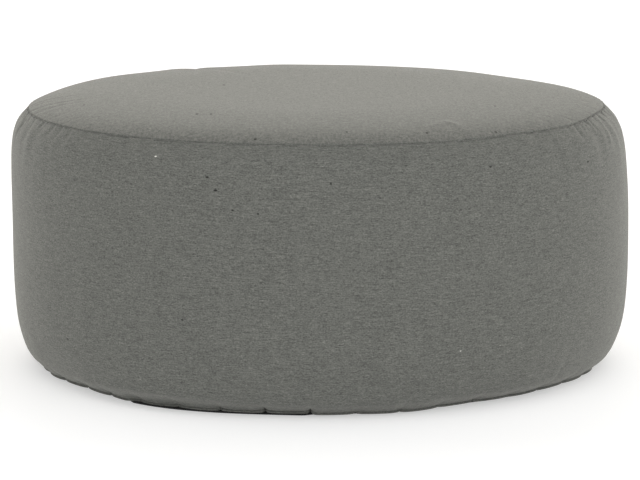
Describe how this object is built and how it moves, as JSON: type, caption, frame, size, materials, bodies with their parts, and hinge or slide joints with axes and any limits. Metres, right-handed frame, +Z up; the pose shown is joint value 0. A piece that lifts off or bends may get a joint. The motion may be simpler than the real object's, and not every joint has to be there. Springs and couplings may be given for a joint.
{
  "type": "round outdoor ottoman",
  "caption": "Low round padded outdoor ottoman: a crowned top panel sewn to a tall soft side band, drawn in to a dark base cloth, as a seat, footrest or low table.",
  "frame": {"origin": "on the floor under the middle of the ottoman", "axes": "+Z up through the middle of the top, the pictured front faces -Y, +X to the viewer's right"},
  "size_m": [0.9013, 0.9, 0.3952],
  "materials": {
    "side_cloth": "heathered grey outdoor weave, matt",
    "top_cloth": "heathered grey outdoor weave, matt",
    "base_cloth": "black base cloth, matt"
  },
  "bodies": {
    "root": {"side_wall": "side_cloth", "top_panel": "top_cloth", "base_panel": "base_cloth"}
  },
  "joints": []
}
